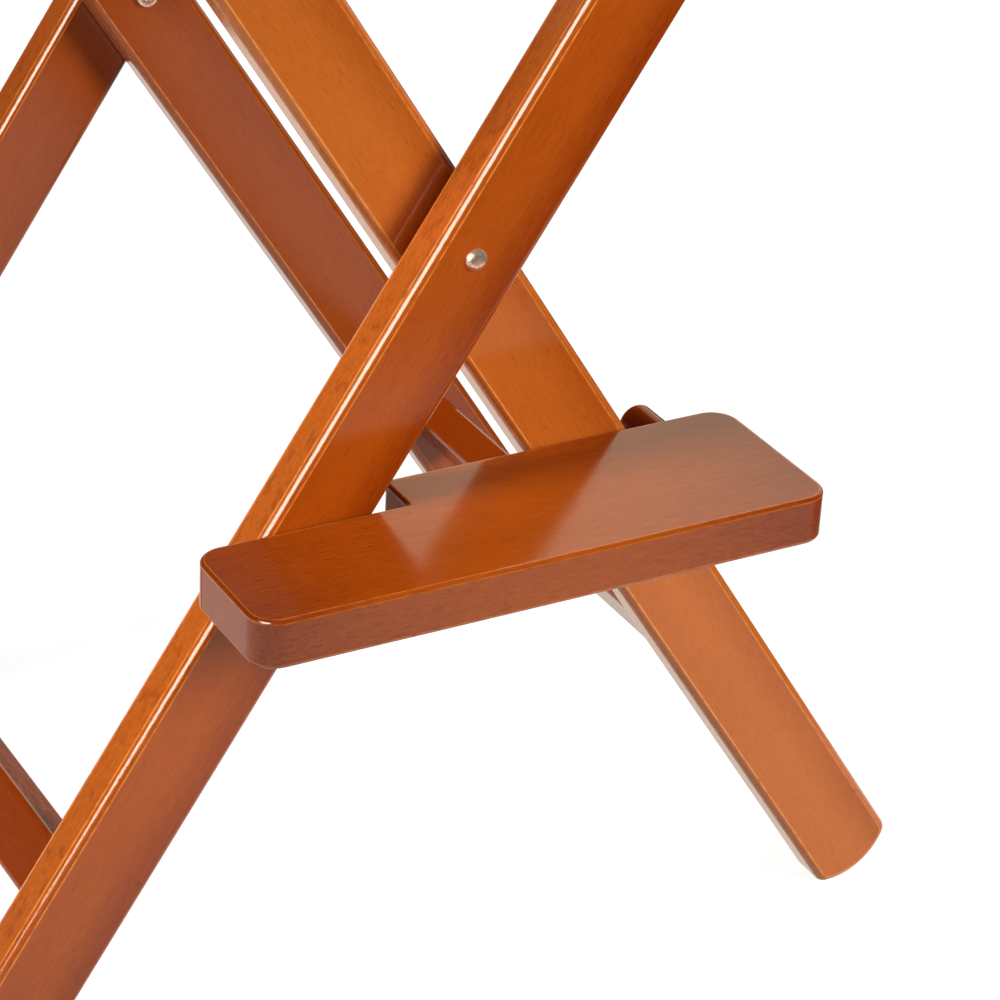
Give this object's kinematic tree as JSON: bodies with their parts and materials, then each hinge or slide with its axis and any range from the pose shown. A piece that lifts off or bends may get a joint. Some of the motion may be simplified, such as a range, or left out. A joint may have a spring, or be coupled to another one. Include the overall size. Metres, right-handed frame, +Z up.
{
  "type": "directors chair",
  "caption": "Bar-height folding director's chair in stained hardwood: crossed legs on bolt pivots, slung canvas seat and back, flat arms and a swing-down footrest.",
  "frame": {"origin": "on the floor under the middle of the chair's bounding box", "axes": "+Z up, -Y the way the sitter faces, +X to the right seen from the front"},
  "size_m": [0.5654, 0.4332, 1.169],
  "materials": {
    "frame_wood": "honey-stained beech, satin lacquer",
    "side_wood": "honey-stained beech, satin lacquer",
    "footrest_wood": "honey-stained beech, satin lacquer",
    "plain_dowel": "bare beech",
    "plated_steel": "nickel plated",
    "insert_brass": "plain",
    "spacer_nylon": "plain",
    "canvas": "plain cotton canvas"
  },
  "bodies": {
    "outer_frame": {"outer_leg_front": "frame_wood", "outer_leg_back": "frame_wood", "outer_stretcher": "frame_wood", "footrest_hinge_bolt": "plated_steel", "front_cross_pivot_bolt": "plated_steel", "front_cross_pivot_dome_nut": "plated_steel", "front_cross_pivot_spacer": "spacer_nylon", "back_cross_pivot_bolt": "plated_steel", "back_cross_pivot_dome_nut": "plated_steel", "back_cross_pivot_spacer": "spacer_nylon"},
    "inner_frame": {"inner_leg_front": "frame_wood", "inner_leg_back": "frame_wood", "inner_stretcher": "frame_wood"},
    "footrest": {"footrest_board": "footrest_wood", "footrest_insert": "insert_brass", "footrest_peg": "footrest_wood"},
    "right_side": {"right_front_post": "side_wood", "right_back_post": "side_wood", "right_seat_rail": "side_wood", "right_seat_dowel": "plain_dowel", "right_armrest": "side_wood", "right_front_rail_bolt": "plated_steel", "right_front_arm_screw": "plated_steel", "right_back_rail_bolt": "plated_steel", "right_back_arm_screw": "plated_steel", "right_front_leg_pivot_bolt": "plated_steel", "right_front_leg_pivot_dome_nut": "plated_steel", "right_front_leg_pivot_spacer": "spacer_nylon", "right_back_leg_pivot_bolt": "plated_steel", "right_back_leg_pivot_dome_nut": "plated_steel", "right_back_leg_pivot_spacer": "spacer_nylon", "seat_canvas": "canvas", "back_canvas": "canvas"},
    "left_side": {"left_front_post": "side_wood", "left_back_post": "side_wood", "left_seat_rail": "side_wood", "left_seat_dowel": "plain_dowel", "left_armrest": "side_wood", "left_front_rail_bolt": "plated_steel", "left_front_arm_screw": "plated_steel", "left_back_rail_bolt": "plated_steel", "left_back_arm_screw": "plated_steel", "left_front_leg_pivot_bolt": "plated_steel", "left_front_leg_pivot_dome_nut": "plated_steel", "left_front_leg_pivot_spacer": "spacer_nylon", "left_back_leg_pivot_bolt": "plated_steel", "left_back_leg_pivot_dome_nut": "plated_steel", "left_back_leg_pivot_spacer": "spacer_nylon"}
  },
  "joints": [
    {"name": "fold", "type": "hinge", "parent": "outer_frame", "child": "inner_frame", "pos_m": [0, 0, 0.358], "axis": [0, 1, 0], "range_deg": [0, 55], "deforming": ["seat_canvas", "back_canvas"]},
    {"name": "right_side_pivot", "type": "hinge", "parent": "outer_frame", "child": "right_side", "pos_m": [0.24472, 0, 0.726], "axis": [0, 1, 0], "range_deg": [0, 27.5]},
    {"name": "left_side_pivot", "type": "hinge", "parent": "inner_frame", "child": "left_side", "pos_m": [-0.24472, 0, 0.726], "axis": [0, 1, 0], "range_deg": [-27.5, 0]},
    {"name": "footrest_hinge", "type": "hinge", "parent": "outer_frame", "child": "footrest", "pos_m": [-0.06838, -0.15545, 0.24935], "axis": [0, 1, 0], "range_deg": [0, 79.75]}
  ],
  "couplings": [
    {"joint": "right_side_pivot", "follows": "fold", "ratio": 0.5},
    {"joint": "left_side_pivot", "follows": "fold", "ratio": -0.5},
    {"joint": "footrest_hinge", "follows": "fold", "ratio": 1.45}
  ]
}
